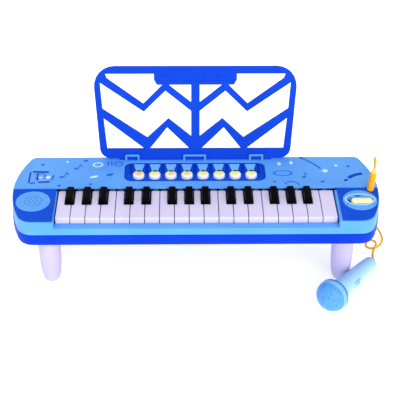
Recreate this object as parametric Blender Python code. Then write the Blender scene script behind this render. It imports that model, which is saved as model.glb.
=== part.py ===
"""Toy electronic keyboard: 32 keys, eight sound buttons, a lift-out music stand and a corded microphone.

Metres, +Z up, +X to the player's right, +Y away from the player. The floor is at z = 0 and the origin is
on it, under the middle of the keyboard with its stand and microphone (the cord and its plug aside).
"""

import math

import bmesh
import bpy
from mathutils import Matrix, Vector

MM = 0.001

# Driving dimensions -----------------------------------------------------------------------------
GAP = 0.3 * MM                      # air between pieces that rest on each other
WALL = 2.2 * MM                     # moulded wall thickness

KEY_PITCH = 17.5 * MM
WHITE_COUNT = 19                    # five and a half groups, from F up to C
OCTAVE_FROM_F = "FGABCDE"
SHARP_SHIFT = {"C": -2.0 * MM, "D": 1.4 * MM, "F": -2.6 * MM, "G": 0.3 * MM, "A": 2.4 * MM}  # off the gap
KEY_GAP = 0.8 * MM
KEY_FRONT_Y = -46.5 * MM
WHITE_TOP = 100.0 * MM
WHITE_FRONT_DROP = 11.0 * MM        # height of a white key's front skirt
BLACK_TOP = WHITE_TOP + 7.0 * MM
BLACK_WIDTH = 10.0 * MM
BLACK_LENGTH = 28.5 * MM
KEY_TAIL_TOP = 94.6 * MM
KEY_TAIL_BOTTOM = 89.0 * MM
KEY_TAIL_WIDTH = 5.0 * MM
KEY_HINGE_Y = 37.0 * MM
KEY_WALL = 1.5 * MM

HALF_LENGTH = 222.3 * MM            # centre to the widest point of the case
BODY_FRONT_Y = -58.5 * MM
BODY_REAR_Y = 81.0 * MM
SIDE_BULGE_Y = 10.0 * MM            # where the bowed sides are widest
SIDE_RADIUS = 150.0 * MM
FRONT_CORNER = 20.0 * MM
REAR_CORNER = 10.0 * MM

FOOT_Z = 0.0
CASE_BOTTOM = 67.0 * MM
SEAM_Z = 83.5 * MM
LIP_TOP = 92.5 * MM
CHEEK_TOP = 101.6 * MM
TRIM_TOP = 103.3 * MM
BOSS_TOP = 103.9 * MM
DECK_TOP = 104.3 * MM
DECK_FRONT_Y = 10.0 * MM
WELL_HALF = 167.4 * MM
WELL_FRONT_Y = KEY_FRONT_Y - 0.8 * MM

BOSS_RADIUS = 20.8 * MM
BOSS_Y = -16.5 * MM
SPEAKER_X = -194.4 * MM
BEZEL_X = 195.6 * MM

PANEL_X = -1.0 * MM                 # the printed panel sits a touch left of centre
RECESS_SIZE = (174.0 * MM, 43.0 * MM)
RECESS_Y = 46.0 * MM
RECESS_CORNER = 10.0 * MM
TRAY_TOP = 101.8 * MM
TRAY_THICK = 1.6 * MM
BUTTON_COUNT = 8
BUTTON_PITCH = 19.8 * MM
BUTTON_Y = 38.5 * MM
BUTTON_RADIUS = 7.1 * MM
BUTTON_TOP = 106.6 * MM
BUTTON_CLEARANCE = 0.35 * MM

STAND_LEAN = math.radians(15.0)
STAND_Y = 73.5 * MM                 # front face of the stand where it meets the deck
STAND_THICK = 4.0 * MM
STAND_HEIGHT = 119.0 * MM
STAND_TOP_HALF = 126.5 * MM
STAND_LOW_HALF = 118.5 * MM
STAND_TOP_CORNER = 25.0 * MM
STAND_LOW_CORNER = 13.0 * MM
TONGUE_HALF = 95.0 * MM
TONGUE_DEPTH = 6.0 * MM
HOOPS = ((-79.0 * MM, 9.0 * MM), (-1.0 * MM, 14.4 * MM), (76.0 * MM, 9.0 * MM))  # centre x, half width

LEG_X = 176.4 * MM
LEG_FRONT_Y = -35.0 * MM
LEG_REAR_Y = 57.0 * MM
LEG_TOP_RADIUS = 13.6 * MM
LEG_FOOT_RADIUS = 5.5 * MM

KNOB_SIZE = (26.0 * MM, 10.2 * MM)
KNOB_SHIFT = Vector((2.0, -2.6)) * MM    # the knob at rest, from the bezel's centre
KNOB_TOP = BOSS_TOP + 1.6 * MM
KNOB_SLOT = (31.2 * MM, 11.0 * MM)

BATTERY_DOOR = (84.0 * MM, 46.0 * MM)
BATTERY_Y = 44.0 * MM

PLUG_BASE = Vector((210.5, 4.3, 103.6)) * MM
PLUG_LEAN = math.radians(5.0)
PLUG_RADIUS = 4.1 * MM
PLUG_BODY = 25.0 * MM
PLUG_RELIEF = 6.5 * MM
PLUG_PIN = 9.0 * MM
JACK_RADIUS = 2.5 * MM

MIC_HEAD = Vector((160.2, -93.2)) * MM
MIC_TAIL = Vector((217.6, -16.8)) * MM
MIC_HEAD_RADIUS = 19.6 * MM
MIC_DOME_FLATTENING = 0.92
MIC_NECK_RADIUS = 12.8 * MM
MIC_TAIL_RADIUS = 8.6 * MM

CORD_DIAMETER = 3.0 * MM
COIL_CENTRE = Vector((204.0, 91.0)) * MM
COIL_MID_RADIUS = 16.5 * MM
COIL_TURNS_WIDE = 2

ROUND = 24                          # sides of a round piece


# Small modelling helpers -------------------------------------------------------------------------
def material(name, colour, roughness, metallic=0.0):
    """A Principled material of one colour, given as linear red, green and blue."""
    mat = bpy.data.materials.new(name)
    mat.use_nodes = True
    shader = mat.node_tree.nodes["Principled BSDF"]
    shader.inputs["Base Color"].default_value = (*colour, 1.0)
    shader.inputs["Roughness"].default_value = roughness
    shader.inputs["Metallic"].default_value = metallic
    mat.diffuse_color = (*colour, 1.0)
    return mat


def add(name, bm, mat, parent=None, origin=(0.0, 0.0, 0.0)):
    """Turns a bmesh in world places into an object whose own origin is at the given point."""
    bmesh.ops.recalc_face_normals(bm, faces=bm.faces)
    bmesh.ops.translate(bm, verts=bm.verts, vec=-Vector(origin))
    mesh = bpy.data.meshes.new(name)
    bm.to_mesh(mesh)
    bm.free()
    mesh.shade_smooth()
    mesh.set_sharp_from_angle(angle=math.radians(35.0))
    mesh.materials.append(mat)
    obj = bpy.data.objects.new(name, mesh)
    obj.location = origin
    bpy.context.scene.collection.objects.link(obj)
    if parent is not None:
        obj.parent = parent
        obj.location = (0.0, 0.0, 0.0)
    return obj


def pivot(name, place, turn=None):
    """An empty on a joint's axis."""
    empty = bpy.data.objects.new(name, None)
    empty.empty_display_size = 0.01
    empty.matrix_world = Matrix.Translation(place) @ (turn or Matrix())
    bpy.context.scene.collection.objects.link(empty)
    return empty


def cut(obj, bm, operation="DIFFERENCE"):
    """Takes a closed bmesh away from an object, or joins it on, with a Boolean and a hidden cutter."""
    cutter = add(f"cutter_{len(bpy.data.objects)}", bm, obj.data.materials[0])
    cutter.hide_render = True
    cutter.display_type = "WIRE"
    boolean = obj.modifiers.new("shape", "BOOLEAN")
    boolean.operation = operation
    boolean.object = cutter


def stack(rings):
    """A closed solid through rings of equal length, capped at both ends."""
    bm = bmesh.new()
    loops = [[bm.verts.new(point) for point in ring] for ring in rings]
    count = len(loops[0])
    for low, high in zip(loops, loops[1:]):
        for i in range(count):
            j = (i + 1) % count
            bm.faces.new((low[i], low[j], high[j], high[i]))
    bm.faces.new(loops[0])
    bm.faces.new(loops[-1])
    return bm


def prism(outline, low, high):
    """A flat outline given thickness along Z."""
    return stack([[(x, y, z) for x, y in outline] for z in (low, high)])


def box(low, high):
    """A plain block between two corners."""
    outline = ((low[0], low[1]), (high[0], low[1]), (high[0], high[1]), (low[0], high[1]))
    return prism(outline, low[2], high[2])


def turned(profile, sides=ROUND):
    """A solid turned about Z from (radius, height) points, bottom to top."""
    angles = [math.tau * i / sides for i in range(sides)]
    return stack([[(r * math.cos(a), r * math.sin(a), z) for a in angles] for r, z in profile])


def placed(bm, matrix):
    """The same bmesh, moved and turned."""
    bmesh.ops.transform(bm, matrix=matrix, verts=bm.verts)
    return bm


def rounded(corners, radii, steps=4):
    """An outline with its corners rounded by arcs; corners run anticlockwise."""
    points = []
    count = len(corners)
    for i, (corner, radius) in enumerate(zip(corners, radii)):
        here = Vector(corner)
        if radius <= 0.0:
            points.append(tuple(here))
            continue
        back = (Vector(corners[i - 1]) - here).normalized()
        ahead = (Vector(corners[(i + 1) % count]) - here).normalized()
        half = back.angle(ahead) / 2.0
        centre = here + (back + ahead).normalized() * radius / math.sin(half)
        start = here + back * radius / math.tan(half) - centre
        end = here + ahead * radius / math.tan(half) - centre
        sweep = start.angle_signed(end)
        for k in range(steps + 1):
            turn = Matrix.Rotation(-sweep * k / steps, 2)
            points.append(tuple(centre + turn @ start))
    return points


def rectangle(centre, size, radius=0.0, steps=4):
    """A rectangle's outline about a centre, with round corners."""
    half_x, half_y = size[0] / 2.0, size[1] / 2.0
    corners = [(centre[0] + sx * half_x, centre[1] + sy * half_y)
               for sx, sy in ((-1, -1), (1, -1), (1, 1), (-1, 1))]
    return rounded(corners, [radius] * 4, steps)


def body_outline(inset=0.0):
    """The case's outline: straight front and back, bowed sides, and a round corner at each end of them."""
    arc_x = HALF_LENGTH - SIDE_RADIUS
    radius = SIDE_RADIUS - inset
    half = []
    for corner, edge, side in ((FRONT_CORNER - inset, BODY_FRONT_Y + inset, 1.0),
                               (REAR_CORNER - inset, BODY_REAR_Y - inset, -1.0)):
        centre_y = edge + side * corner
        rise = centre_y - SIDE_BULGE_Y
        centre_x = arc_x + math.sqrt((radius - corner) ** 2 - rise ** 2)
        tangent = math.atan2(rise, centre_x - arc_x)
        start = -math.pi / 2.0 * side
        arc = [start + (tangent - start) * k / 5.0 for k in range(6)]
        corner_points = [(centre_x + corner * math.cos(a), centre_y + corner * math.sin(a)) for a in arc]
        half.append((corner_points, tangent))
    (front, low), (rear, high) = half
    side_angles = [low + (high - low) * k / 9.0 for k in range(1, 9)]
    bow = [(arc_x + radius * math.cos(a), SIDE_BULGE_Y + radius * math.sin(a)) for a in side_angles]
    right = front + bow + rear[::-1]
    left = [(-x, y) for x, y in reversed(right)]
    return right + left


def clipped(bm, point, normal):
    """Keeps the part of a closed bmesh that lies behind a plane, and closes it again."""
    geometry = bm.verts[:] + bm.edges[:] + bm.faces[:]
    bmesh.ops.bisect_plane(bm, geom=geometry, plane_co=point, plane_no=normal, clear_outer=True)
    rim = [edge for edge in bm.edges if edge.is_boundary]
    bmesh.ops.contextual_create(bm, geom=rim)
    return bm


# Case ----------------------------------------------------------------------------------------------
def build_upper_case(mat):
    """Light top shell: deck, cheeks beside the keys, front lip, stand hoops and the two round bosses."""
    rim = 2.0 * MM
    levels = ((0.6 * MM, SEAM_Z), (1.0 * MM, DECK_TOP - rim), (1.7 * MM, DECK_TOP - 0.6 * MM),
              (rim + 1.0 * MM, DECK_TOP))
    case = add("upper_case", stack([[(x, y, z) for x, y in body_outline(i)] for i, z in levels]), mat)
    far = 0.3
    cut(case, box((-far, -far, CHEEK_TOP), (far, DECK_FRONT_Y, far)))
    for x in (SPEAKER_X, BEZEL_X):
        boss = turned(((BOSS_RADIUS, CHEEK_TOP - WALL), (BOSS_RADIUS, BOSS_TOP - 0.6 * MM),
                       (BOSS_RADIUS - 0.8 * MM, BOSS_TOP)), 40)
        cut(case, placed(boss, Matrix.Translation((x, BOSS_Y, 0.0))), "UNION")
    build_hoops(case)
    cut(case, box((-WELL_HALF, -far, LIP_TOP), (WELL_HALF, DECK_FRONT_Y + GAP, far)))
    cut(case, box((-WELL_HALF, WELL_FRONT_Y, 0.0), (WELL_HALF, DECK_FRONT_Y, far)))
    inner = body_outline(WALL + 1.0 * MM)
    under_deck = prism(inner, 0.0, DECK_TOP - WALL)
    deck_hollow = clipped(under_deck, (0.0, DECK_FRONT_Y - 2.0 * MM, 0.0), (0.0, -1.0, 0.0))
    cut(case, deck_hollow)
    for side in (-1.0, 1.0):
        cheek = prism(inner, 0.0, CHEEK_TOP - WALL)
        cheek = clipped(cheek, (side * (WELL_HALF + WALL), 0.0, 0.0), (-side, 0.0, 0.0))
        cut(case, clipped(cheek, (0.0, DECK_FRONT_Y, 0.0), (0.0, 1.0, 0.0)))
    lip_inside = (BODY_FRONT_Y + WALL + 1.0 * MM, WELL_FRONT_Y - WALL)
    cut(case, box((-WELL_HALF, lip_inside[0], 0.0), (WELL_HALF, lip_inside[1], LIP_TOP - WALL)))
    recess = rectangle((PANEL_X, RECESS_Y), RECESS_SIZE, RECESS_CORNER)
    cut(case, prism(recess, DECK_TOP - 2.0 * WALL, far))
    slot = box((-TONGUE_HALF - GAP, -GAP, -8.0 * MM), (TONGUE_HALF + GAP, STAND_THICK + GAP, 8.0 * MM))
    cut(case, placed(slot, stand_frame()))
    cut(case, grille_holes())
    slot = rectangle((BEZEL_X, BOSS_Y + KNOB_SHIFT.y), KNOB_SLOT)
    cut(case, prism(slot, CHEEK_TOP - 2.0 * WALL, far))
    cut(case, jack_hole())
    return case


def build_hoops(case):
    """Three low hoops on the deck, just in front of the stand's bottom bar."""
    height, thick, leg = 8.0 * MM, 2.0 * MM, 2.6 * MM
    rear = STAND_Y - 0.6 * MM
    for centre, half in HOOPS:
        corners = ((-half, -1.0 * MM), (half, -1.0 * MM), (half, height), (-half, height))
        outer = rounded(corners, (0.0, 0.0, 1.8 * MM, 1.8 * MM), 3)
        upright = Matrix.Translation((centre, rear, DECK_TOP)) @ Matrix.Rotation(math.pi / 2.0, 4, "X")
        cut(case, placed(prism(outer, 0.0, thick), upright), "UNION")
        cut(case, box((centre - half + leg, rear - 2.0 * thick, DECK_TOP),
                      (centre + half - leg, rear + thick, DECK_TOP + height - leg)))


def grille_holes():
    """Rings of small round holes over the speaker."""
    bm = bmesh.new()
    rings = ((0.0, 1), (5.0 * MM, 6), (10.0 * MM, 12))
    for radius, count in rings:
        for i in range(count):
            angle = math.tau * i / count
            place = Matrix.Translation((SPEAKER_X + radius * math.cos(angle),
                                        BOSS_Y + radius * math.sin(angle), CHEEK_TOP))
            bmesh.ops.create_cone(bm, cap_ends=True, segments=8, radius1=1.1 * MM, radius2=1.1 * MM,
                                  depth=12.0 * MM, matrix=place)
    return bm


def jack_hole():
    """The round hole that the microphone's plug goes into."""
    hole = turned(((JACK_RADIUS, -14.0 * MM), (JACK_RADIUS, 4.0 * MM)), 16)
    return placed(hole, plug_frame())


def build_lower_case(mat):
    """Blue bottom tray with the battery opening in its floor and the rail that the keys pivot on."""
    top, floor = SEAM_Z - GAP, CASE_BOTTOM + WALL
    levels = ((WALL + 1.0 * MM, floor), (WALL + 1.0 * MM, top), (0.0, top), (0.0, CASE_BOTTOM + 5.0 * MM),
              (1.4 * MM, CASE_BOTTOM + 1.6 * MM), (4.0 * MM, CASE_BOTTOM))
    rings = [[(x, y, z) for x, y in body_outline(inset)] for inset, z in levels]
    case = add("lower_case", stack(rings), mat)
    rail_half, rail_thick = 169.0 * MM, 3.0 * MM
    rail = box((-rail_half, KEY_HINGE_Y - rail_thick / 2.0, floor - 1.0 * MM),
               (rail_half, KEY_HINGE_Y + rail_thick / 2.0, KEY_TAIL_BOTTOM - GAP))
    cut(case, rail, "UNION")
    opening = rectangle((0.0, BATTERY_Y), [side + 2.0 * GAP for side in BATTERY_DOOR], 3.0 * MM)
    cut(case, prism(opening, 0.0, floor + 1.0 * MM))
    return case


def build_battery_door(mat):
    """The screwed door of the battery box, flush with the case's underside."""
    outline = rectangle((0.0, BATTERY_Y), BATTERY_DOOR, 3.0 * MM)
    add("battery_door", prism(outline, CASE_BOTTOM, CASE_BOTTOM + WALL - 0.4 * MM), mat)


def build_trim_plates(mat):
    """Blue plates on the cheeks, each with a round opening for the boss beneath it."""
    for side, boss_x, name in ((-1.0, SPEAKER_X, "left_trim_plate"), (1.0, BEZEL_X, "right_trim_plate")):
        edge = WELL_HALF + (1.2 * MM if side < 0.0 else 3.4 * MM)
        plate = prism(body_outline(2.0 * MM), CHEEK_TOP + GAP, TRIM_TOP)
        plate = clipped(plate, (side * edge, 0.0, 0.0), (-side, 0.0, 0.0))
        plate = clipped(plate, (0.0, DECK_FRONT_Y - GAP, 0.0), (0.0, 1.0, 0.0))
        trim = add(name, plate, mat)
        opening = turned(((BOSS_RADIUS + GAP, 0.0), (BOSS_RADIUS + GAP, 0.2)), 40)
        cut(trim, placed(opening, Matrix.Translation((boss_x, BOSS_Y, 0.0))))
        if side > 0.0:
            cut(trim, jack_hole())


def build_button_tray(mat):
    """Blue tray under the deck's opening, with a hole for each button."""
    grow = 6.0 * MM
    outline = rectangle((PANEL_X, RECESS_Y), [side + grow for side in RECESS_SIZE], RECESS_CORNER)
    tray = add("button_tray", prism(outline, TRAY_TOP - TRAY_THICK, TRAY_TOP), mat)
    for x in button_places():
        hole = turned(((BUTTON_RADIUS + BUTTON_CLEARANCE, 0.0), (BUTTON_RADIUS + BUTTON_CLEARANCE, 0.2)))
        cut(tray, placed(hole, Matrix.Translation((x, BUTTON_Y, 0.0))))


def build_inner_parts(board, driver):
    """The long contact board under the keys, and the speaker under its grille."""
    board_z = 79.0 * MM
    board_half = 164.0 * MM
    add("circuit_board", box((-board_half, KEY_FRONT_Y + 12.0 * MM, board_z),
                             (board_half, KEY_HINGE_Y - 12.0 * MM, board_z + 1.6 * MM)), board)
    speaker = turned(((9.0 * MM, 76.0 * MM), (9.0 * MM, 84.0 * MM), (12.0 * MM, 86.0 * MM),
                      (18.0 * MM, 94.0 * MM), (18.0 * MM, 97.0 * MM)))
    add("speaker_driver", placed(speaker, Matrix.Translation((SPEAKER_X, BOSS_Y, 0.0))), driver)


def build_legs(mat):
    """Four bullet-shaped legs under the case."""
    top = CASE_BOTTOM - GAP
    profile = ((LEG_FOOT_RADIUS, FOOT_Z), (8.4 * MM, 2.4 * MM), (10.4 * MM, 7.5 * MM), (11.9 * MM, 17.0 * MM),
               (13.0 * MM, 34.0 * MM), (LEG_TOP_RADIUS, top))
    for depth, y in (("front", LEG_FRONT_Y), ("rear", LEG_REAR_Y)):
        for side, x in (("left", -LEG_X), ("right", LEG_X)):
            leg = placed(turned(profile, 20), Matrix.Translation((x, y, 0.0)))
            add(f"leg_{depth}_{side}", leg, mat)


# Keys ----------------------------------------------------------------------------------------------
def white_centre(index):
    """The middle of a white key, counted from the left."""
    return (index - (WHITE_COUNT - 1) / 2.0) * KEY_PITCH


def has_sharp(index):
    """Whether a black key stands between this white key and the next one."""
    return 0 <= index < WHITE_COUNT - 1 and OCTAVE_FROM_F[index % 7] in SHARP_SHIFT


def sharp_centre(index):
    """The middle of the black key after a white key: the outer ones of a group stand a little apart."""
    return white_centre(index) + KEY_PITCH / 2.0 + SHARP_SHIFT[OCTAVE_FROM_F[index % 7]]


def hollow_below(bm, wall, depth):
    """Presses a pocket into the underside of a block."""
    bm.normal_update()
    under = [face for face in bm.faces if face.normal.z < -0.9]
    bmesh.ops.inset_region(bm, faces=under, thickness=wall, use_even_offset=True)
    inner = list({vert for face in under for vert in face.verts})
    bmesh.ops.translate(bm, verts=inner, vec=(0.0, 0.0, depth))
    return bm


def key_tail(centre_x, front_y):
    """The thin arm that runs back under the deck to the pivot rail."""
    half, rear_y = KEY_TAIL_WIDTH / 2.0, KEY_HINGE_Y + 3.0 * MM
    return box((centre_x - half, front_y, KEY_TAIL_BOTTOM), (centre_x + half, rear_y, KEY_TAIL_TOP))


def build_white_key(index, mat):
    """A white key: a hollow bar, notched beside each black neighbour, with an arm to its pivot."""
    centre = white_centre(index)
    half = (KEY_PITCH - KEY_GAP) / 2.0
    clear = BLACK_WIDTH / 2.0 + KEY_GAP
    front, rear = KEY_FRONT_Y, DECK_FRONT_Y - 0.2 * MM
    shoulder = DECK_FRONT_Y - BLACK_LENGTH - KEY_GAP
    left = sharp_centre(index - 1) + clear if has_sharp(index - 1) else centre - half
    right = sharp_centre(index) - clear if has_sharp(index) else centre + half
    outline = [(centre - half, front), (centre + half, front)]
    if has_sharp(index):
        outline += [(centre + half, shoulder), (right, shoulder)]
    outline += [(right, rear), (left, rear)]
    if has_sharp(index - 1):
        outline += [(left, shoulder), (centre - half, shoulder)]
    bm = prism(outline, WHITE_TOP - WHITE_FRONT_DROP, WHITE_TOP)
    bmesh.ops.recalc_face_normals(bm, faces=bm.faces)
    hollow_below(bm, KEY_WALL, WHITE_FRONT_DROP - KEY_WALL * 1.4)
    name = f"white_key_{index + 1:02d}"
    tail_x = (left + right) / 2.0
    axis = pivot(f"pivot_{name}", (tail_x, KEY_HINGE_Y, KEY_TAIL_BOTTOM + 2.0 * MM))
    key = add(name, bm, mat, axis, axis.location)
    cut(key, key_tail(tail_x, rear - KEY_WALL * 0.6), "UNION")


def build_black_key(index, number, mat):
    """A black key between two white ones, with sloping sides and front, and an arm to its pivot."""
    centre = sharp_centre(index)
    half, top_half = BLACK_WIDTH / 2.0, BLACK_WIDTH / 2.0 - 1.2 * MM
    rear = DECK_FRONT_Y - 0.6 * MM
    front = DECK_FRONT_Y - BLACK_LENGTH
    low = [(centre - half, front), (centre + half, front), (centre + half, rear), (centre - half, rear)]
    lean = 2.6 * MM
    high = [(centre - top_half, front + lean), (centre + top_half, front + lean),
            (centre + top_half, rear), (centre - top_half, rear)]
    foot = KEY_TAIL_BOTTOM
    rings = [[(x, y, z) for x, y in ring] for ring, z in ((low, foot), (low, WHITE_TOP), (high, BLACK_TOP))]
    name = f"black_key_{number:02d}"
    axis = pivot(f"pivot_{name}", (centre, KEY_HINGE_Y, KEY_TAIL_BOTTOM + 2.0 * MM))
    bm = stack(rings)
    bmesh.ops.recalc_face_normals(bm, faces=bm.faces)
    hollow_below(bm, KEY_WALL, BLACK_TOP - foot - KEY_WALL * 2.4)
    key = add(name, bm, mat, axis, axis.location)
    cut(key, key_tail(centre, rear - KEY_WALL * 0.6), "UNION")


# Buttons and the power slide -----------------------------------------------------------------------
def button_places():
    """The x of each button's centre."""
    return [PANEL_X + (i - (BUTTON_COUNT - 1) / 2.0) * BUTTON_PITCH for i in range(BUTTON_COUNT)]


def build_buttons(mat):
    """Domed push buttons, each with a flange that stops it under the tray."""
    flange_top = TRAY_TOP - TRAY_THICK - GAP
    flange = BUTTON_RADIUS + 1.2 * MM
    profile = ((flange, flange_top - 1.2 * MM), (flange, flange_top), (BUTTON_RADIUS, flange_top),
               (BUTTON_RADIUS, BUTTON_TOP - 1.6 * MM), (BUTTON_RADIUS - 0.6 * MM, BUTTON_TOP - 0.7 * MM),
               (BUTTON_RADIUS - 2.4 * MM, BUTTON_TOP))
    for number, x in enumerate(button_places(), 1):
        place = (x, BUTTON_Y, flange_top)
        axis = pivot(f"guide_button_{number}", place)
        cap = placed(turned(profile), Matrix.Translation((x, BUTTON_Y, 0.0)))
        add(f"button_{number}", cap, mat, axis, place)


def build_power_slide(mat):
    """A pill-shaped slide knob in its slot; it moves left by the length of the open end of the slot."""
    length, width = KNOB_SIZE
    ease = 1.0 * MM
    centre = (BEZEL_X + KNOB_SHIFT.x, BOSS_Y + KNOB_SHIFT.y)
    outline = rectangle(centre, (length, width), width / 2.0 - 0.1 * MM, 5)
    low = CHEEK_TOP - WALL
    crown = rectangle(centre, (length - 2.0 * ease, width - 2.0 * ease), width / 2.0 - 0.1 * MM - ease, 5)
    rings = [[(x, y, z) for x, y in outline] for z in (low, KNOB_TOP - ease)]
    rings.append([(x, y, KNOB_TOP) for x, y in crown])
    axis = pivot("guide_power_slide", (*centre, low))
    add("power_slide", stack(rings), mat, axis, axis.location)


# Music stand ----------------------------------------------------------------------------------------
def stand_frame():
    """The stand's own frame: x along it, y through its thickness from its front face, z up along it."""
    return Matrix.Translation((0.0, STAND_Y, DECK_TOP)) @ Matrix.Rotation(-STAND_LEAN, 4, "X")


def stand_holes():
    """The openings of the right half of the lattice, as outlines of (across, up) points in millimetres."""
    top, plaque_low, bar_top, centre = 109.6, 95.8, 14.1, 5.3
    outer = ((111.0, top), (51.0, top), (51.0, 102.0), (47.5, plaque_low), (40.5, plaque_low),
             (64.5, 71.8), (109.0, 104.0))
    inner = ((33.4, plaque_low), (centre, plaque_low), (centre, 73.4))
    middle = ((117.6, 98.6), (64.0, 61.8), (37.0, 88.2), (centre, 62.5), (centre, 30.0), (33.5, 53.0),
              (60.0, 28.4), (115.2, 65.4))
    low_outer = ((114.0, 53.4), (63.6, bar_top), (110.3, bar_top))
    low_inner = ((35.2, 41.4), (7.4, bar_top), (57.0, bar_top))
    return (outer, inner, middle, low_outer, low_inner)


def build_stand(mat):
    """The openwork music stand: one moulded plate that lifts out of the slot at the back of the deck."""
    foot = STAND_THICK * math.tan(STAND_LEAN) + 2.0 * GAP
    right = ((TONGUE_HALF, -TONGUE_DEPTH), (TONGUE_HALF, foot), (STAND_LOW_HALF, foot),
             (STAND_TOP_HALF, STAND_HEIGHT))
    corners = [*right, *((-x, height) for x, height in reversed(right))]
    half_radii = (0.0, 0.0, STAND_LOW_CORNER, STAND_TOP_CORNER)
    radii = (*half_radii, *reversed(half_radii))
    outline = rounded(corners, radii, 6)
    up = stand_frame() @ Matrix.Rotation(math.pi / 2.0, 4, "X") @ Matrix.Translation((0.0, 0.0, -STAND_THICK))
    axis = pivot("guide_music_stand", (0.0, STAND_Y, DECK_TOP))
    plate = placed(prism(outline, 0.0, STAND_THICK), up)
    stand = add("music_stand", plate, mat, axis, axis.location)
    for side in (-1.0, 1.0):
        for hole in stand_holes():
            points = [(side * across * MM, height * MM) for across, height in hole]
            cut(stand, placed(prism(points, -STAND_THICK, 2.0 * STAND_THICK), up))


# Microphone, plug and cord ---------------------------------------------------------------------------
def mic_frame():
    """The microphone's frame as it lies on the floor: +Z from the head's centre to the tail."""
    head = Vector((*MIC_HEAD, MIC_HEAD_RADIUS + FOOT_Z + 0.3 * MM))
    tail = Vector((*MIC_TAIL, MIC_TAIL_RADIUS + FOOT_Z + 0.6 * MM))
    along = tail - head
    return Matrix.Translation(head) @ along.to_track_quat("Z", "Y").to_matrix().to_4x4(), along.length


def build_microphone(head_mat, handle_mat):
    """A domed head in front and a tapered handle behind it, with the cord's exit in its end."""
    frame, length = mic_frame()
    axis = pivot("lift_microphone", frame.translation)
    radius = MIC_HEAD_RADIUS
    depth = radius * MIC_DOME_FLATTENING
    angles = [math.radians(degrees) for degrees in (12, 30, 48, 66, 84)]
    dome = [(radius * math.sin(a), -depth * math.cos(a)) for a in angles]
    profile = (*dome, (radius, 3.0 * MM), (radius - 1.6 * MM, 6.0 * MM))
    add("mic_head", placed(turned(profile, 28), frame), head_mat, axis, axis.location)
    start = 6.0 * MM + GAP
    handle = ((16.0 * MM, start), (MIC_NECK_RADIUS, 16.0 * MM), (10.5 * MM, 45.0 * MM),
              (MIC_TAIL_RADIUS + 0.6 * MM, length - 14.0 * MM), (MIC_TAIL_RADIUS, length - 2.0 * MM),
              (MIC_TAIL_RADIUS - 2.0 * MM, length))
    add("mic_handle", placed(turned(handle), frame), handle_mat, axis, axis.location)
    return frame @ Vector((0.0, 0.0, length))


def plug_frame():
    """The plug's frame: +Z out of the jack, leaning a little outwards."""
    return Matrix.Translation(PLUG_BASE) @ Matrix.Rotation(PLUG_LEAN, 4, "Y")


def build_plug(mat):
    """The microphone's plug: a pin in the jack, a round grip, and a taper where the cord comes out."""
    pin = JACK_RADIUS - 0.75 * MM
    tip = PLUG_BODY + PLUG_RELIEF
    profile = ((pin - 0.6 * MM, -PLUG_PIN), (pin, -PLUG_PIN + 1.0 * MM), (pin, 0.0),
               (PLUG_RADIUS - 0.4 * MM, 0.0), (PLUG_RADIUS, 1.0 * MM), (PLUG_RADIUS, PLUG_BODY - 1.0 * MM),
               (PLUG_RADIUS - 0.8 * MM, PLUG_BODY), (CORD_DIAMETER / 2.0 + 0.4 * MM, tip))
    add("mic_plug", placed(turned(profile, 20), plug_frame()), mat)
    return plug_frame() @ Vector((0.0, 0.0, tip + GAP))


def smooth_route(points, spacing):
    """Evenly spaced points along a smooth curve through the route's own points."""
    ends = [points[0] * 2.0 - points[1], *points, points[-1] * 2.0 - points[-2]]
    fine = []
    for before, start, end, after in zip(ends, ends[1:], ends[2:], ends[3:]):
        for k in range(24):
            t = k / 24.0
            fine.append(0.5 * (2.0 * start + (end - before) * t
                               + (2.0 * before - 5.0 * start + 4.0 * end - after) * t ** 2
                               + (3.0 * start - before - 3.0 * end + after) * t ** 3))
    fine.append(points[-1])
    total = sum((b - a).length for a, b in zip(fine, fine[1:]))
    step = total / max(1, round(total / spacing))
    even, run = [fine[0]], 0.0
    for a, b in zip(fine, fine[1:]):
        run += (b - a).length
        if run >= step * len(even) - 1e-9:
            even.append(b)
    even[-1] = fine[-1]
    return even


def tube(name, points, mat):
    """A round cord along a route."""
    route = smooth_route(points, CORD_DIAMETER * 1.2)
    curve = bpy.data.curves.new(name, "CURVE")
    curve.dimensions = "3D"
    curve.bevel_depth = CORD_DIAMETER / 2.0
    curve.bevel_resolution = 2
    curve.use_fill_caps = True
    spline = curve.splines.new("POLY")
    spline.points.add(len(route) - 1)
    for point, place in zip(spline.points, route):
        point.co = (*place, 1.0)
    curve.materials.append(mat)
    bpy.context.scene.collection.objects.link(bpy.data.objects.new(name, curve))


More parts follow.
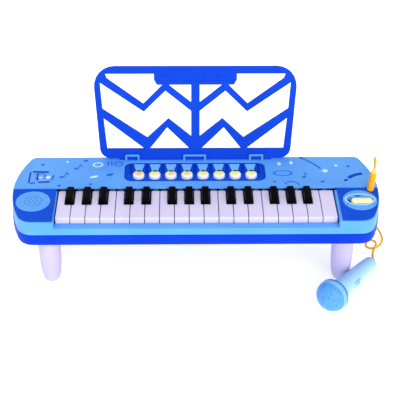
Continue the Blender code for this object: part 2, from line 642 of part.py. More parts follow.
def build_cord(mat, plug_exit, mic_exit):
    """The cord: over the case's side from the plug, a tied coil behind it, and on to the microphone."""
    lie = CORD_DIAMETER / 2.0
    from_plug = [(213.5, 4.3, 137.5), (213.8, 5.8, 141.6), (214.1, 10.2, 144.4), (214.6, 14.6, 142.6),
                 (215.1, 17.6, 138.4), (215.8, 20.2, 133.0), (217.0, 24.6, 124.0), (218.9, 31.5, 114.0),
                 (220.3, 38.5, 104.5), (221.0, 43.5, 90.0), (221.4, 48.0, 62.0), (221.6, 51.5, 34.0),
                 (221.2, 54.3, 11.0), (217.2, 58.0, 2.9), (209.0, 61.0, 1.6), (198.0, 66.0, 1.6),
                 (189.0, 75.0, 1.6)]
    coil_in = Vector((COIL_CENTRE.x - COIL_MID_RADIUS + 1.5 * MM, 85.0 * MM, lie))
    route = [plug_exit] + [Vector(p) * MM for p in from_plug]
    coil_outer = COIL_MID_RADIUS + COIL_TURNS_WIDE * lie + 0.3 * MM
    away = (Vector((route[-1].x, route[-1].y)) - COIL_CENTRE).normalized()
    join = COIL_CENTRE + away * (coil_outer + GAP + lie * 0.8)
    route[-1] = Vector((join.x, join.y, coil_in.z))
    tube("cord_plug_side", route, mat)
    ring = turned_ring(COIL_MID_RADIUS, COIL_TURNS_WIDE * lie + 0.3 * MM, 2.0 * lie * 1.9)
    add("cord_coil", placed(ring, Matrix.Translation((*COIL_CENTRE, 0.0))), mat)
    to_mic = [(229.5, 80.0, 1.6), (236.0, 70.0, 1.6), (239.6, 59.0, 1.6), (240.9, 48.0, 1.6),
              (240.0, 38.0, 1.6), (236.0, 29.5, 1.6), (229.6, 23.4, 1.6), (222.4, 21.8, 1.7),
              (217.9, 26.0, 2.0), (218.6, 32.4, 3.0), (224.2, 35.9, 4.4), (229.6, 32.4, 4.9),
              (230.0, 25.4, 4.9), (226.8, 17.6, 4.5), (224.0, 10.0, 3.5), (222.7, 2.5, 3.9),
              (222.6, -4.5, 6.0), (221.6, -10.2, 8.0), (219.9, -13.8, 8.9)]
    first = Vector(to_mic[0][:2]) * MM
    away = (first - COIL_CENTRE).normalized()
    join = COIL_CENTRE + away * (coil_outer + GAP + lie * 0.8)
    start = Vector((join.x, join.y, lie))
    tube("cord_mic_side", [start] + [Vector(p) * MM for p in to_mic] + [mic_exit], mat)


def turned_ring(mid, half_width, height):
    """A closed ring lying on the floor, with an eight-sided section."""
    bm = bmesh.new()
    cut_off = half_width * 0.4
    flat, shoulder = half_width - cut_off, height - cut_off
    section = ((-half_width, cut_off), (-flat, 0.0), (flat, 0.0), (half_width, cut_off),
               (half_width, shoulder), (flat, height), (-flat, height), (-half_width, shoulder))
    verts = [bm.verts.new((mid + x, 0.0, z)) for x, z in section]
    edges = [bm.edges.new((a, b)) for a, b in zip(verts, verts[1:] + verts[:1])]
    bmesh.ops.spin(bm, geom=edges, cent=(0.0, 0.0, 0.0), axis=(0.0, 0.0, 1.0), angle=math.tau, steps=28,
                   use_merge=True)
    return bm


def build():
    """The whole keyboard."""
    for obj in list(bpy.data.objects):
        bpy.data.objects.remove(obj)
    light_blue = material("light_blue_abs", (0.10, 0.36, 0.93), 0.35)
    royal = material("royal_blue_abs", (0.0, 0.08, 0.80), 0.35)
    ivory = material("lavender_white_abs", (0.76, 0.70, 0.91), 0.3)
    black = material("black_abs", (0.01, 0.006, 0.012), 0.3)
    pale_yellow = material("pale_yellow_abs", (0.93, 0.92, 0.58), 0.35)
    orange = material("orange_pvc", (0.93, 0.42, 0.02), 0.4)
    pale_blue = material("pale_blue_abs", (0.30, 0.62, 0.96), 0.35)
    board = material("green_board", (0.03, 0.22, 0.07), 0.5)
    grey = material("speaker_frame", (0.20, 0.20, 0.22), 0.4, 0.6)
    build_upper_case(light_blue)
    build_lower_case(royal)
    build_trim_plates(royal)
    build_button_tray(royal)
    build_battery_door(royal)
    build_inner_parts(board, grey)
    build_legs(ivory)
    build_stand(royal)
    build_power_slide(pale_yellow)
    build_buttons(ivory)
    for index in range(WHITE_COUNT):
        build_white_key(index, ivory)
    sharps = [index for index in range(WHITE_COUNT) if has_sharp(index)]
    for number, index in enumerate(sharps, 1):
        build_black_key(index, number, black)
    plug_exit = build_plug(orange)
    mic_end = build_microphone(light_blue, pale_blue)
    frame, length = mic_frame()
    mic_exit = mic_end + (frame.to_3x3() @ Vector((0.0, 0.0, GAP)))
    build_cord(orange, plug_exit, mic_exit)


build()
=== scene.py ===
# %% [markdown]
# # A toy electronic keyboard, piece by piece
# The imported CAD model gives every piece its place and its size. This lesson gives each one the soft
# corners, the prints and the plastics of a real moulded toy, without moving anything.

# %% Tools, the fixed frame and its size
import math

import bmesh
import bpy
from mathutils import Matrix, Vector


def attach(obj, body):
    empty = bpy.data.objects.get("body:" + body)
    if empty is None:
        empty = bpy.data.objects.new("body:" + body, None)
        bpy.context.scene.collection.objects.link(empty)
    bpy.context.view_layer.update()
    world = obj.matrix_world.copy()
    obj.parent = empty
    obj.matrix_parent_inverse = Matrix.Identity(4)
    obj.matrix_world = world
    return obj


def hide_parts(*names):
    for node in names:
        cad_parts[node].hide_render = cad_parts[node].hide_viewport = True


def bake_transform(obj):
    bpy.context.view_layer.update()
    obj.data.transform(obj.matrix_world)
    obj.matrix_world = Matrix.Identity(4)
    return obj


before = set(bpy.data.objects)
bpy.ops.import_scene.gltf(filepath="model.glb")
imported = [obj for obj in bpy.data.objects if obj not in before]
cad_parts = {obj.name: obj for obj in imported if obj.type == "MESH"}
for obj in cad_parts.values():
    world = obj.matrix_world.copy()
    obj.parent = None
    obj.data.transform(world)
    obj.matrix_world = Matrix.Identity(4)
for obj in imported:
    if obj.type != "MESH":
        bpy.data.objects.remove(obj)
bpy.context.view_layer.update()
MM = 0.001

# %% [markdown]
# ## The camera
# A long lens far away keeps the long case almost free of perspective. The camera looks down by about
# 35 degrees and stands a little to the left. A camera's own Z points back at it, so its three axes
# are built from the view direction and written straight into its matrix.

# %% Camera
LENS_MM, SENSOR_MM = 102.1, 36.0
CAMERA_PLACE = Vector((-18.2, -1128.9, 872.6)) * MM
YAW, PITCH, ROLL = math.radians(1.16), math.radians(34.63), math.radians(0.43)

forward = Vector((math.sin(YAW) * math.cos(PITCH), math.cos(YAW) * math.cos(PITCH), -math.sin(PITCH)))
level = Vector((math.cos(YAW), -math.sin(YAW), 0.0))
upward = level.cross(forward)
right = math.cos(ROLL) * level + math.sin(ROLL) * upward
up = math.cos(ROLL) * upward - math.sin(ROLL) * level
lens = bpy.data.cameras.new("camera")
lens.lens, lens.sensor_width = LENS_MM, SENSOR_MM
camera = bpy.data.objects.new("camera", lens)
camera.matrix_world = Matrix((right, up, -forward)).transposed().to_4x4()
camera.location = CAMERA_PLACE
bpy.context.scene.collection.objects.link(camera)
bpy.context.scene.camera = camera
print("camera at", tuple(round(c, 3) for c in camera.location))

# %% [markdown]
# ## Colours and nodes
# Colours are written as sRGB hex values, as a paint chart gives them, and shaders want linear light, so
# one function converts them. One more adds a node with its settings and its links.

# %% Colour and node helpers
def linear(hex_colour):
    """An sRGB hex colour as linear red, green, blue and full alpha."""
    channels = [int(hex_colour[i:i + 2], 16) / 255.0 for i in (1, 3, 5)]
    return (*[c / 12.92 if c <= 0.04045 else ((c + 0.055) / 1.055) ** 2.4 for c in channels], 1.0)


def put(tree, kind, inputs=None, **settings):
    """Adds a shader node; an input may be a value or another node's output, which is linked."""
    node = tree.nodes.new("ShaderNode" + kind)
    for name, value in settings.items():
        setattr(node, name, value)
    for name, value in (inputs or {}).items():
        if isinstance(value, bpy.types.NodeSocket):
            tree.links.new(value, node.inputs[name])
        else:
            node.inputs[name].default_value = value
    return node


print("royal blue in linear light:", [round(c, 3) for c in linear("#0050FA")])

# %% [markdown]
# ## Moulded ABS
# Most of the toy is ABS, injected into a steel mould whose faces were lightly spark-eroded. That leaves
# a fine pebbled grain, which spreads reflections. The pigment drifts slowly over some centimetres, and
# handling rubs some patches smoother. All three are noises on Object coordinates, so they stay put.
# A real grain of 0.1 mm can't show here, so it is drawn at 0.8 mm and shallow.

# %% ABS finish
GRAIN_MM, DRIFT_MM, RUB_MM = 0.8, 38.0, 9.0


def moulded_abs(name, colour, drifted, roughness, grain_depth=0.012, shine=0.2):
    """Injection-moulded ABS: pigment drift, fine grain, and patches rubbed a little smoother."""
    finish = bpy.data.materials.new(name)
    finish.use_nodes = True
    tree = finish.node_tree
    place = put(tree, "TexCoord").outputs["Object"]
    drift = put(tree, "TexNoise", {"Vector": place, "Scale": 1.0 / (DRIFT_MM * MM), "Detail": 2.0})
    eased = put(tree, "MapRange", {"Value": drift.outputs["Fac"], "From Min": 0.3, "From Max": 0.7})
    pigment = put(tree, "Mix", {0: eased.outputs["Result"], 6: linear(colour), 7: linear(drifted)},
                  data_type="RGBA")
    rub = put(tree, "TexNoise", {"Vector": place, "Scale": 1.0 / (RUB_MM * MM), "Detail": 4.0,
                                 "Roughness": 0.65})
    gloss = put(tree, "MapRange", {"Value": rub.outputs["Fac"], "To Min": roughness - 0.07,
                                   "To Max": roughness + 0.09})
    grain = put(tree, "TexNoise", {"Vector": place, "Scale": 1.0 / (GRAIN_MM * MM), "Detail": 2.0})
    relief = put(tree, "Bump", {"Height": grain.outputs["Fac"], "Strength": 0.5,
                                "Distance": grain_depth * MM})
    shader = tree.nodes["Principled BSDF"]
    tree.links.new(pigment.outputs[2], shader.inputs["Base Color"])
    tree.links.new(gloss.outputs["Result"], shader.inputs["Roughness"])
    tree.links.new(relief.outputs["Normal"], shader.inputs["Normal"])
    shader.inputs["IOR"].default_value = 1.54
    shader.inputs["Specular IOR Level"].default_value = shine
    return finish


case_blue = moulded_abs("moulded_abs_light_blue", "#5AA0EE", "#5098EA", 0.42)
royal_blue = moulded_abs("moulded_abs_royal_blue", "#0038C6", "#0033BC", 0.44, shine=0.06)
trim_blue = moulded_abs("moulded_abs_trim_blue", "#004CD2", "#0046C6", 0.44, shine=0.05)
stand_blue = moulded_abs("moulded_abs_stand_blue", "#0040CA", "#003BC0", 0.44, shine=0.06)
ivory = moulded_abs("moulded_abs_lavender_white", "#D5CFEC", "#CFC8E8", 0.30, 0.004)
cap_white = moulded_abs("moulded_abs_cap_white", "#EAEAEC", "#E4E4EA", 0.28, 0.004)
key_black = moulded_abs("polished_abs_black", "#020104", "#030205", 0.34, 0.004, 0.02)
pale_yellow = moulded_abs("moulded_abs_pale_yellow", "#F0EFB8", "#EAE8AC", 0.38)
# Teal ABS: the cord boot's own colour. On the microphone's rim the same dark teal is painted shade.
teal_and_painted_rim_shade = moulded_abs("moulded_abs_teal_and_painted_rim_shade", "#3E86B8", "#387EB0", 0.38)
grip_blue = moulded_abs("moulded_abs_grip_blue", "#A0D0F2", "#98CAEE", 0.36)
leg_lavender = moulded_abs("moulded_abs_leg_lavender", "#BFB7DA", "#B9B1D5", 0.42)
label_blue = moulded_abs("moulded_abs_label_blue", "#7FBDF6", "#76B4F2", 0.40)
print("ABS finishes:", len([m for m in bpy.data.materials if "abs" in m.name]))

# %% [markdown]
# ## Printed inks
# The pictures on the deck are pad-printed: a soft pad presses a thin film of ink on the moulding. Under
# a glass such ink is slightly broken by the grain beneath it. Each print is a real, very thin raised
# shape with its own ink finish. The small speckle keeps its colour from being dead flat.

# %% Ink finish
def printed_ink(name, colour, speckle):
    """Pad-printed ink: a thin satin film, slightly broken by the mould's grain."""
    finish = bpy.data.materials.new(name)
    finish.use_nodes = True
    tree = finish.node_tree
    place = put(tree, "TexCoord").outputs["Object"]
    dots = put(tree, "TexNoise", {"Vector": place, "Scale": 1.0 / (1.2 * MM), "Detail": 3.0})
    film = put(tree, "Mix", {0: dots.outputs["Fac"], 6: linear(colour), 7: linear(speckle)},
               data_type="RGBA")
    relief = put(tree, "Bump", {"Height": dots.outputs["Fac"], "Strength": 0.4, "Distance": 0.01 * MM})
    shader = tree.nodes["Principled BSDF"]
    tree.links.new(film.outputs[2], shader.inputs["Base Color"])
    tree.links.new(relief.outputs["Normal"], shader.inputs["Normal"])
    shader.inputs["Roughness"].default_value = 0.5
    shader.inputs["IOR"].default_value = 1.5
    shader.inputs["Specular IOR Level"].default_value = 0.06
    return finish


ink_royal = printed_ink("printed_ink_royal", "#1C5CC6", "#2A6CD2")
ink_deep = printed_ink("printed_ink_deep_blue", "#0638B0", "#0E44BE")
ink_white = printed_ink("printed_ink_white", "#D8ECFF", "#C8E2FC")
ink_yellow = printed_ink("printed_ink_yellow", "#F2F08A", "#ECE87A")
ink_orange = printed_ink("printed_ink_orange", "#F6CE86", "#F2C478")
ink_amber = printed_ink("printed_ink_amber", "#F2DC84", "#EED478")
ink_leaf = printed_ink("printed_ink_leaf_green", "#1E5C50", "#286656")
ink_navy = printed_ink("printed_ink_navy", "#0A2C98", "#1034A4")

# %% [markdown]
# ## Soft PVC, rubber, metal, paper and circuit board
# The cord and its plug are plasticised PVC, softer and waxier than ABS, which lets a little light in.
# Feet and contact strips are silicone rubber, screws and pin are plated steel, the speaker has a
# pressed paper cone, and the board is glass fibre under a green lacquer with copper tracks.

# %% Other finishes
def plain_finish(name, colour, second, size_mm, roughness, depth_mm=0.02, stretch=(1.0, 1.0, 1.0),
                 metallic=0.0, soft=0.0, shine=0.5):
    """A finish from one noise: it varies the colour, and its relief roughens the surface."""
    finish = bpy.data.materials.new(name)
    finish.use_nodes = True
    tree = finish.node_tree
    place = put(tree, "Mapping", {"Vector": put(tree, "TexCoord").outputs["Object"], "Scale": stretch})
    grain = put(tree, "TexNoise", {"Vector": place.outputs["Vector"], "Scale": 1.0 / (size_mm * MM),
                                   "Detail": 3.0})
    tint = put(tree, "Mix", {0: grain.outputs["Fac"], 6: linear(colour), 7: linear(second)},
               data_type="RGBA")
    relief = put(tree, "Bump", {"Height": grain.outputs["Fac"], "Strength": 0.5, "Distance": depth_mm * MM})
    shader = tree.nodes["Principled BSDF"]
    tree.links.new(tint.outputs[2], shader.inputs["Base Color"])
    tree.links.new(relief.outputs["Normal"], shader.inputs["Normal"])
    shader.inputs["Roughness"].default_value = roughness
    shader.inputs["Metallic"].default_value = metallic
    shader.inputs["Specular IOR Level"].default_value = shine
    shader.inputs["Subsurface Weight"].default_value = soft
    shader.inputs["Subsurface Scale"].default_value = 1.5 * MM
    return finish


cord_pvc = plain_finish("extruded_pvc_golden", "#E0B43A", "#D8A830", 3.0, 0.42, 0.02, soft=0.1, shine=0.25)
plug_pvc = plain_finish("moulded_pvc_orange", "#F4AC0A", "#EEA202", 4.0, 0.42, 0.01, soft=0.1, shine=0.2)
relief_pvc = plain_finish("moulded_pvc_yellow", "#F6D468", "#F0CA58", 3.0, 0.42, 0.01, soft=0.1, shine=0.2)
tie_pvc = plain_finish("extruded_pvc_tie_white", "#EDEFF2", "#E2E4EA", 2.0, 0.45)
rubber = plain_finish("moulded_silicone_rubber_grey", "#B9B4C4", "#ADA8BA", 0.6, 0.75, 0.03)
# The black rubber finish also fills the screws' cross recesses, as painted shade.
black_rubber_and_recess_shade = plain_finish("conductive_rubber_black_and_painted_recess_shade", "#18181B", "#232328", 0.8, 0.7, 0.03)
screw_steel = plain_finish("zinc_plated_steel", "#B4B8BC", "#9CA2A8", 0.7, 0.34, 0.01, metallic=1.0)
pin_nickel = plain_finish("turned_nickel_plate", "#CFCBC2", "#BDB8AE", 0.5, 0.22, 0.005, (1.0, 1.0, 8.0), 1.0)
basket_steel = plain_finish("pressed_steel_grey", "#62666C", "#54585E", 1.5, 0.45, 0.02, metallic=1.0)
cone_paper = plain_finish("pressed_paper_cone", "#26262A", "#34343A", 0.9, 0.85, 0.08)
print("finishes in all:", len(bpy.data.materials))

# %% [markdown]
# Tracks on the board are brick-shaped blocks of copper under the lacquer: a brick pattern with long
# thin rows gives the straight runs between pads.

# %% Board finish
def lacquered_board():
    """Glass-fibre board: darker green where bare, brighter where copper tracks lie under the lacquer."""
    finish = bpy.data.materials.new("solder_masked_glass_fibre")
    finish.use_nodes = True
    tree = finish.node_tree
    place = put(tree, "TexCoord").outputs["Object"]
    tracks = put(tree, "TexBrick", {"Vector": place, "Color1": linear("#1F6B3A"), "Color2": linear("#2A7C46"),
                                    "Mortar": linear("#0F4A26"), "Scale": 1.0, "Mortar Size": 0.35 * MM,
                                    "Brick Width": 17.5 * MM, "Row Height": 1.6 * MM})
    relief = put(tree, "Bump", {"Height": tracks.outputs["Fac"], "Strength": 0.4, "Distance": 0.03 * MM},
                 invert=True)
    shader = tree.nodes["Principled BSDF"]
    tree.links.new(tracks.outputs["Color"], shader.inputs["Base Color"])
    tree.links.new(relief.outputs["Normal"], shader.inputs["Normal"])
    shader.inputs["Roughness"].default_value = 0.3
    return finish


board_green = lacquered_board()

# %% [markdown]
# ## Turning a bmesh into a piece
# Every piece is a bmesh in its final place. Its faces are shaded smooth, and edges sharper than a set
# angle stay crisp. A Weighted Normal modifier leans the shading towards the large faces, so a flat wall
# with a small round edge looks flat right up to that edge. Then the piece rides on its CAD body.

# %% Piece helper
CRISP_ANGLE = math.radians(40.0)


def piece(name, bm, finish, body, stands_for=()):
    """Makes the object, shades it, hangs it on its body's empty and hides the CAD parts it stands for."""
    bm.normal_update()
    for face in bm.faces:
        face.smooth = True
    for edge in bm.edges:
        edge.smooth = not (edge.is_manifold and edge.calc_face_angle() > CRISP_ANGLE)
    mesh = bpy.data.meshes.new(name)
    bm.to_mesh(mesh)
    bm.free()
    mesh.materials.append(finish)
    made = bpy.data.objects.new(name, mesh)
    bpy.context.scene.collection.objects.link(made)
    shading = made.modifiers.new("even_shading", "WEIGHTED_NORMAL")
    shading.keep_sharp = True
    if body:
        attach(made, body)
    if stands_for:
        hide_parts(*stands_for)
    return made


# %% [markdown]
# ## Rounding edges
# No moulded edge is a knife edge: the steel is rounded so the plastic can flow and let go. An edge
# bevel with two or three segments does that. Only outward edges that are long enough to hold the
# rounding are taken, and each piece may say more exactly which.

# %% Edge helper
def soften(bm, width, segments=2, angle=32.0, wanted=lambda edge: True):
    """Bevels the outward edges sharper than an angle that are longer than twice the width."""
    bm.normal_update()
    sharp = [edge for edge in bm.edges
             if edge.is_manifold and edge.is_convex and edge.calc_face_angle() > math.radians(angle)
             and edge.calc_length() > 2.0 * width and wanted(edge)]
    bmesh.ops.bevel(bm, geom=sharp, offset=width, offset_type="OFFSET", affect="EDGES", segments=segments,
                    profile=0.5, material=-1, clamp_overlap=False)
    return len(sharp)


def merged_copy(node, flatten=True):
    """A CAD piece's triangles merged, and made into larger flat faces where that is safe, in a new bmesh."""
    bm = bmesh.new()
    bm.from_mesh(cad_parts[node].data)
    bmesh.ops.remove_doubles(bm, verts=bm.verts, dist=0.005 * MM)
    if flatten:
        bmesh.ops.dissolve_limit(bm, angle_limit=math.radians(1.0), verts=bm.verts, edges=bm.edges)
    return bm


# %% [markdown]
# ## The cord
# The thin PVC cord leaves the microphone's tail, makes a small loop on the table, goes round behind
# the case to a tied coil, and climbs over the case's side to its plug. It is one tube on one smooth
# line. A Catmull-Rom curve passes through every point of the route, and the points are then spaced
# evenly so that the tube has even rings. The coil's points come from a turning radius vector.

# %% Cord route
CORD_DIAMETER = 3.0 * MM
COIL_CENTRE = Vector((204.0, 91.0, 0.0)) * MM
PLUG_END = Vector((213.27, 4.3, 135.28))
MIC_EXIT = Vector((217.78, -16.56, 9.17))
FROM_PLUG = ((213.5, 4.3, 137.5), (213.8, 5.8, 141.6), (214.1, 10.2, 144.4), (214.6, 14.6, 142.6),
             (215.1, 17.6, 138.4), (215.8, 20.2, 133.0), (217.0, 24.6, 124.0), (218.9, 31.5, 114.0),
             (220.3, 38.5, 104.5), (221.0, 43.5, 90.0), (221.4, 48.0, 62.0), (221.6, 51.5, 34.0),
             (221.2, 54.3, 11.0), (217.2, 58.0, 2.9), (209.0, 61.0, 1.6), (198.0, 66.0, 1.6),
             (190.5, 76.0, 1.6))
TO_MIC = ((229.5, 80.0, 1.6), (236.0, 70.0, 1.6), (239.6, 59.0, 1.6), (240.9, 48.0, 1.6), (240.0, 38.0, 1.6),
          (236.0, 29.5, 1.6), (229.6, 23.4, 1.6), (222.4, 21.8, 1.7), (217.9, 26.0, 2.0), (218.6, 32.4, 3.0),
          (224.2, 35.9, 4.4), (229.6, 32.4, 4.9), (230.0, 25.4, 4.9), (226.8, 17.6, 4.5), (224.0, 10.0, 3.5),
          (222.7, 2.5, 3.9), (222.6, -4.5, 6.0), (221.6, -10.2, 8.0), (219.9, -13.8, 8.9))
COIL_OUTER, COIL_INNER, LAYERS = 18.0, 14.9, (1.5, 4.5)
POINTS_PER_TURN = 16


def coil_points():
    """Clockwise turns, in mm: the low pair from the outside in, then the high pair from the inside out."""
    start, finish = math.radians(215.0), math.radians(20.0) - 3.0 * math.tau
    steps = round((start - finish) / math.tau * POINTS_PER_TURN)
    points = []
    for step in range(steps + 1):
        turns = (start - finish) / math.tau * step / steps
        inward = min(max((turns - 0.85) / 0.3, 0.0), 1.0) - min(max((turns - 2.6) / 0.3, 0.0), 1.0)
        raised = min(max((turns - 1.75) / 0.3, 0.0), 1.0)
        radius = COIL_OUTER + (COIL_INNER - COIL_OUTER) * inward
        angle = start - turns * math.tau
        height = LAYERS[0] + (LAYERS[1] - LAYERS[0]) * raised
        points.append((COIL_CENTRE.x / MM + radius * math.cos(angle),
                       COIL_CENTRE.y / MM + radius * math.sin(angle), height))
    return points


def smooth_route(points, spacing):
    """Evenly spaced points along a Catmull-Rom curve through the given ones."""
    ends = [points[0] * 2.0 - points[1], *points, points[-1] * 2.0 - points[-2]]
    fine = []
    for before, start, end, after in zip(ends, ends[1:], ends[2:], ends[3:]):
        for k in range(24):
            t = k / 24.0
            fine.append(0.5 * (2.0 * start + (end - before) * t
                               + (2.0 * before - 5.0 * start + 4.0 * end - after) * t ** 2
                               + (3.0 * start - before - 3.0 * end + after) * t ** 3))
    fine.append(points[-1])
    total = sum((b - a).length for a, b in zip(fine, fine[1:]))
    step = total / max(1, round(total / spacing))
    even, run = [fine[0]], 0.0
    for a, b in zip(fine, fine[1:]):
        run += (b - a).length
        if run >= step * len(even) - 1e-9:
            even.append(b)
    even[-1] = fine[-1]
    return even


knots = [MIC_EXIT, *map(Vector, reversed(TO_MIC)), *map(Vector, reversed(coil_points())),
         *map(Vector, reversed(FROM_PLUG)), PLUG_END]
cord_path = [point * MM for point in smooth_route(knots, 2.0)]
for point in cord_path:
    point.z = max(point.z, CORD_DIAMETER / 2.0)
cord_length = sum((b - a).length for a, b in zip(cord_path, cord_path[1:]))
print("cord length in m:", round(cord_length, 3), "through", len(cord_path), "points")

# %% [markdown]
# A curve object with a round bevel makes the tube in one step and keeps its rings square to the route.
# It is turned into a mesh and baked into place; it rides on no body.

# %% Cord tube
def tube(name, route, radius):
    """A capped round tube along a route, as a bmesh."""
    curve = bpy.data.curves.new(name, "CURVE")
    curve.dimensions = "3D"
    curve.bevel_depth = radius
    curve.bevel_resolution = 2
    curve.use_fill_caps = True
    spline = curve.splines.new("POLY")
    spline.points.add(len(route) - 1)
    for point, place in zip(spline.points, route):
        point.co = (*place, 1.0)
    holder = bpy.data.objects.new(name, curve)
    bpy.context.scene.collection.objects.link(holder)
    mesh = bpy.data.meshes.new_from_object(holder.evaluated_get(bpy.context.evaluated_depsgraph_get()))
    bm = bmesh.new()
    bm.from_mesh(mesh)
    bpy.data.objects.remove(holder)
    bpy.data.curves.remove(curve)
    bpy.data.meshes.remove(mesh)
    bmesh.ops.remove_doubles(bm, verts=bm.verts, dist=1e-6)
    bmesh.ops.recalc_face_normals(bm, faces=bm.faces)
    return bm


cord = piece("microphone_cord", tube("cord_line", cord_path, CORD_DIAMETER / 2.0), cord_pvc, None,
             ("cord_plug_side", "cord_coil", "cord_mic_side"))
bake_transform(cord)

# %% [markdown]
# ## Turned shapes
# Plug, microphone, legs and buttons are all round. A profile of points is spun a full turn about Z;
# the spin merges its last ring with its first, and the doubles at the poles are merged after it.

# %% Spin helper
def turned(profile, steps=48):
    """A closed solid spun about Z from (radius, height) points in mm."""
    bm = bmesh.new()
    verts = [bm.verts.new(Vector((radius, 0.0, height)) * MM) for radius, height in profile]
    edges = [bm.edges.new(pair) for pair in zip(verts, verts[1:])]
    bmesh.ops.spin(bm, geom=verts + edges, cent=(0.0, 0.0, 0.0), axis=(0.0, 0.0, 1.0), angle=math.tau,
                   steps=steps, use_merge=True)
    bmesh.ops.remove_doubles(bm, verts=bm.verts, dist=1e-6)
    bmesh.ops.recalc_face_normals(bm, faces=bm.faces)
    return bm


def move(x, y, z):
    """The matrix that carries a piece to a place given in mm."""
    return Matrix.Translation(Vector((x, y, z)) * MM)


def only_verts(geometry):
    """The vertices among what an operator made."""
    return [item for item in geometry if isinstance(item, bmesh.types.BMVert)]


def placed(bm, matrix):
    """The same bmesh, moved and turned."""
    bmesh.ops.transform(bm, matrix=matrix, verts=bm.verts)
    return bm


def joined(parts):
    """Several bmeshes as one."""
    whole = bmesh.new()
    for part in parts:
        mesh = bpy.data.meshes.new("part")
        part.to_mesh(mesh)
        part.free()
        whole.from_mesh(mesh)
        bpy.data.meshes.remove(mesh)
    return whole


# %% [markdown]
# ## The microphone's plug
# A turned nickel pin, a round grip with four finger rings, and a soft tapered relief that keeps the
# cord from kinking where it comes out. The rings are part of one spun profile, since one mould makes
# grip and rings together.

# %% Plug
PLUG_FRAME = move(210.5, 4.3, 103.6) @ Matrix.Rotation(math.radians(5.0), 4, "Y")
grip_profile = [(0.0, 0.05), (3.5, 0.05), (3.9, 0.4), (4.1, 1.2), (4.1, 4.0)]
for ring in range(4):
    base = 5.0 + ring * 3.2
    grip_profile += [(3.7, base), (3.7, base + 1.1), (4.1, base + 1.6), (4.1, base + 2.7)]
grip_profile += [(4.1, 23.4), (3.8, 24.4), (3.2, 25.0), (0.0, 25.0)]
pin_profile = ((0.0, -9.0), (1.2, -9.0), (1.7, -8.2), (1.7, -6.4), (1.4, -6.0), (1.4, -5.4), (1.7, -5.0),
               (1.75, -0.2), (1.75, 0.3), (0.0, 0.3))
relief_profile = [(0.0, 24.6), (3.0, 24.6)]
for ring in range(3):
    base, radius = 25.2 + ring * 2.0, 3.0 - ring * 0.35
    relief_profile += [(radius, base), (radius - 0.05, base + 1.0), (radius - 0.45, base + 1.2),
                       (radius - 0.45, base + 1.8)]
relief_profile += [(1.75, 31.3), (1.5, 31.6), (0.0, 31.6)]
plug_grip = piece("plug_grip", placed(turned(grip_profile), PLUG_FRAME), plug_pvc, "case",
                  ("mic_plug",))
plug_pin = piece("plug_pin", placed(turned(pin_profile, 32), PLUG_FRAME), pin_nickel, "case")
plug_relief = piece("plug_strain_relief", placed(turned(relief_profile, 40), PLUG_FRAME), relief_pvc, "case")

# %% [markdown]
# ## The tie on the coil
# A short strip of soft plastic holds the spare cord together: a circle pulled into an oval around the
# coil's section, given width and thickness.

# %% Coil tie
def coil_tie():
    """A flat oval band around the coil's bundle, at its side away from the player."""
    bm = bmesh.new()
    bmesh.ops.create_circle(bm, segments=32, radius=1.0)
    bmesh.ops.scale(bm, vec=(3.32 * MM, 2.92 * MM, 1.0), verts=bm.verts)
    rim = bmesh.ops.extrude_edge_only(bm, edges=bm.edges[:])
    new = only_verts(rim["geom"])
    bmesh.ops.translate(bm, vec=(0.0, 0.0, 3.2 * MM), verts=new)
    bmesh.ops.recalc_face_normals(bm, faces=bm.faces)
    bmesh.ops.solidify(bm, geom=bm.faces[:], thickness=0.25 * MM)
    bmesh.ops.recalc_face_normals(bm, faces=bm.faces)
    turn = Matrix.Rotation(math.pi / 2.0, 4, "Y") @ Matrix.Rotation(math.pi / 2.0, 4, "Z")
    middle = COIL_CENTRE + Vector((-1.6, (COIL_OUTER + COIL_INNER) / 2.0, 3.02)) * MM
    return placed(bm, Matrix.Translation(middle) @ turn)


cord_tie = piece("cord_tie", coil_tie(), tie_pvc, "case")

# %% [markdown]
# ## The upper case
# One thin light-blue moulding carries the deck, the cheeks, the front lip and the low hoops that hold
# the stand. Its shape is already right in the CAD, so a merged copy gets its outward edges rounded.
# The little grille holes keep their edges, which are too short to round.

# %% Upper case
LIP_TOP, DECK_TOP, BOSS_TOP, TRIM_TOP = 92.5, 104.3, 103.9, 103.3
shell = merged_copy("upper_case", flatten=False)
count = soften(shell, 0.55 * MM, 3,
               wanted=lambda edge: min(v.co.z for v in edge.verts) > (LIP_TOP - 0.2) * MM)
print("edges rounded on the upper case:", count)
piece("upper_case_shell", shell, case_blue, "case", ("upper_case",))

# %% [markdown]
# ## The lower case
# The royal-blue tray below it is a copy treated the same way. Only its upper rim, where the two shells
# meet, is rounded.

# %% Lower case
tray = merged_copy("lower_case")
count = soften(tray, 0.5 * MM, 2, wanted=lambda edge: max(v.co.z for v in edge.verts) > 82.0 * MM)
piece("lower_case_shell", tray, royal_blue, "case", ("lower_case",))
print("edges rounded on the lower case:", count)

# %% Trim plates
for side in ("left", "right"):
    plate = merged_copy(f"{side}_trim_plate")
    soften(plate, 0.45 * MM, 3, wanted=lambda edge: max(v.co.z for v in edge.verts) > (TRIM_TOP - 0.1) * MM)
    piece(f"{side}_trim", plate, trim_blue, "case", (f"{side}_trim_plate",))

# %% [markdown]
# ## Keys
# White keys are thin hollow bars. The edges that a finger meets are rounded by 0.6 mm: the outline of
# the top, and all round the front. Black keys are narrower, with sloping sides, and their top outline
# and sloping corners are rounded. The hidden pocket and the tail keep their plain edges.

# %% Keys
WHITE_TOP, KEY_FRONT = 100.0, -46.5


def on_white_top(edge):
    """Whether an edge lies on the playing face or on the front of a white key."""
    return (min(v.co.z for v in edge.verts) > (WHITE_TOP - 0.05) * MM
            or max(v.co.y for v in edge.verts) < (KEY_FRONT + 0.05) * MM)


